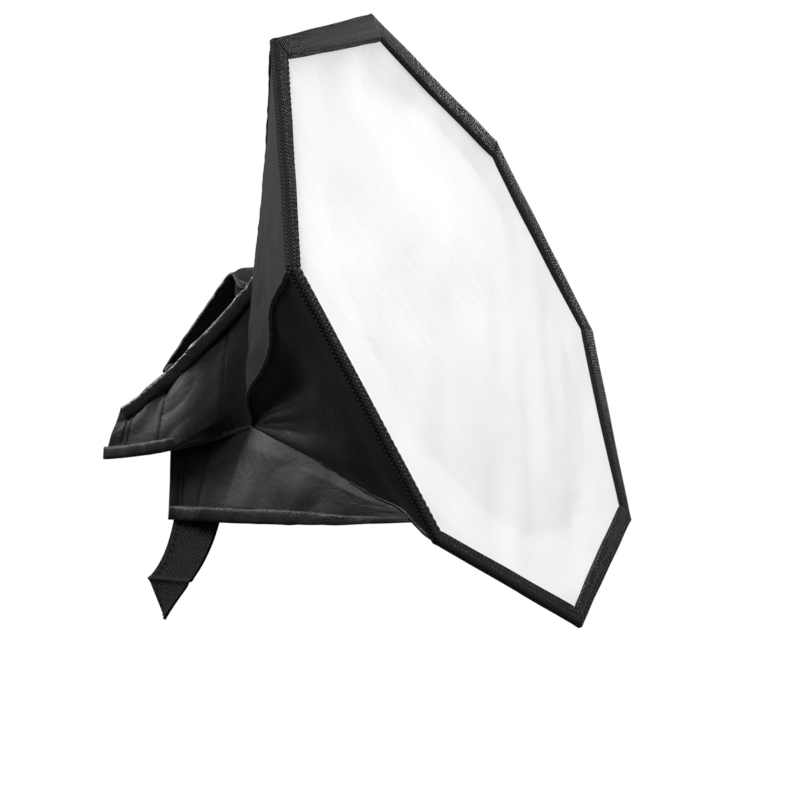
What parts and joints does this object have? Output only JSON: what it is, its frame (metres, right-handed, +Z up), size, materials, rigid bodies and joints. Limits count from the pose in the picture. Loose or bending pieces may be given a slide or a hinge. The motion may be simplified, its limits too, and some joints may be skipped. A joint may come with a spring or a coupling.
{
  "type": "octabox",
  "caption": "Folding octagonal softbox for a shoe-mount flash head: white front cloth bound in webbing, black fabric hood, and loose rear flaps with a closing strap.",
  "frame": {"origin": "centre of the neck opening that the flash head enters", "axes": "+Z up, -Y the way the light leaves, +X to the right seen from behind the flash"},
  "size_m": [0.25, 0.1818, 0.2377],
  "materials": {
    "diffuser_cloth": "matt translucent white nylon",
    "black_webbing": "ribbed black webbing",
    "black_nylon": "coated black nylon with a soft sheen",
    "black_hem": "folded and stitched black nylon",
    "silver_lining": "metallised reflective cloth",
    "stiffener_board": "plain plastic sheet",
    "hook_and_loop": "hook and loop tape"
  },
  "bodies": {
    "hood": {"diffuser": "diffuser_cloth", "edge_binding_1": "black_webbing", "edge_binding_2": "black_webbing", "edge_binding_3": "black_webbing", "edge_binding_4": "black_webbing", "edge_binding_5": "black_webbing", "edge_binding_6": "black_webbing", "edge_binding_7": "black_webbing", "edge_binding_8": "black_webbing", "side_panel_left_rim": "black_nylon", "side_panel_left_neck": "black_nylon", "side_panel_top_rim": "black_nylon", "side_panel_top_neck": "black_nylon", "side_panel_right_rim": "black_nylon", "side_panel_right_neck": "black_nylon", "side_panel_bottom_rim": "black_nylon", "side_panel_bottom_neck": "black_nylon", "corner_gusset_top_left": "black_nylon", "corner_gusset_top_right": "black_nylon", "corner_gusset_bottom_right": "black_nylon", "corner_gusset_bottom_left": "black_nylon", "stiffener_board_left": "stiffener_board", "stiffener_board_top": "stiffener_board", "stiffener_board_right": "stiffener_board", "stiffener_board_bottom": "stiffener_board", "silver_lining_1": "silver_lining", "silver_lining_2": "silver_lining", "silver_lining_3": "silver_lining", "silver_lining_4": "silver_lining", "silver_lining_5": "silver_lining", "silver_lining_6": "silver_lining", "silver_lining_7": "silver_lining", "silver_lining_8": "silver_lining", "neck_band": "black_webbing", "lower_flap_left": "black_nylon", "lower_flap_right": "black_nylon", "lower_flap_hem_left": "black_hem", "lower_flap_hem_right": "black_hem", "strap_loop_pad": "hook_and_loop"},
    "wing_left": {"wing_left": "black_nylon", "wing_lower_hem_left": "black_hem", "wing_ridge_hem_left": "black_hem", "wing_hook_patch_left": "hook_and_loop"},
    "wing_right": {"wing_right": "black_nylon", "wing_lower_hem_right": "black_hem", "wing_ridge_hem_right": "black_hem", "wing_hook_patch_right": "hook_and_loop"},
    "top_flap": {"top_flap": "black_nylon", "top_flap_hem": "black_hem", "top_loop_patch": "hook_and_loop"},
    "strap": {"closing_strap": "black_webbing", "strap_hook_pad": "hook_and_loop"}
  },
  "joints": [
    {"name": "wing_left_swing", "type": "hinge", "parent": "hood", "child": "wing_left", "pos_m": [-0.045, 0.001, 0], "axis": [0, 0, 1], "range_deg": [0, 75]},
    {"name": "wing_right_swing", "type": "hinge", "parent": "hood", "child": "wing_right", "pos_m": [0.045, 0.001, 0], "axis": [0, 0, -1], "range_deg": [0, 75]},
    {"name": "top_flap_lift", "type": "hinge", "parent": "hood", "child": "top_flap", "pos_m": [0, 0.0098, 0.0287], "axis": [1, 0, 0], "range_deg": [0, 80]},
    {"name": "strap_swing", "type": "hinge", "parent": "hood", "child": "strap", "pos_m": [-0.0415, 0.022, -0.0653], "axis": [0, 1, 0], "range_deg": [-35, 35]}
  ]
}
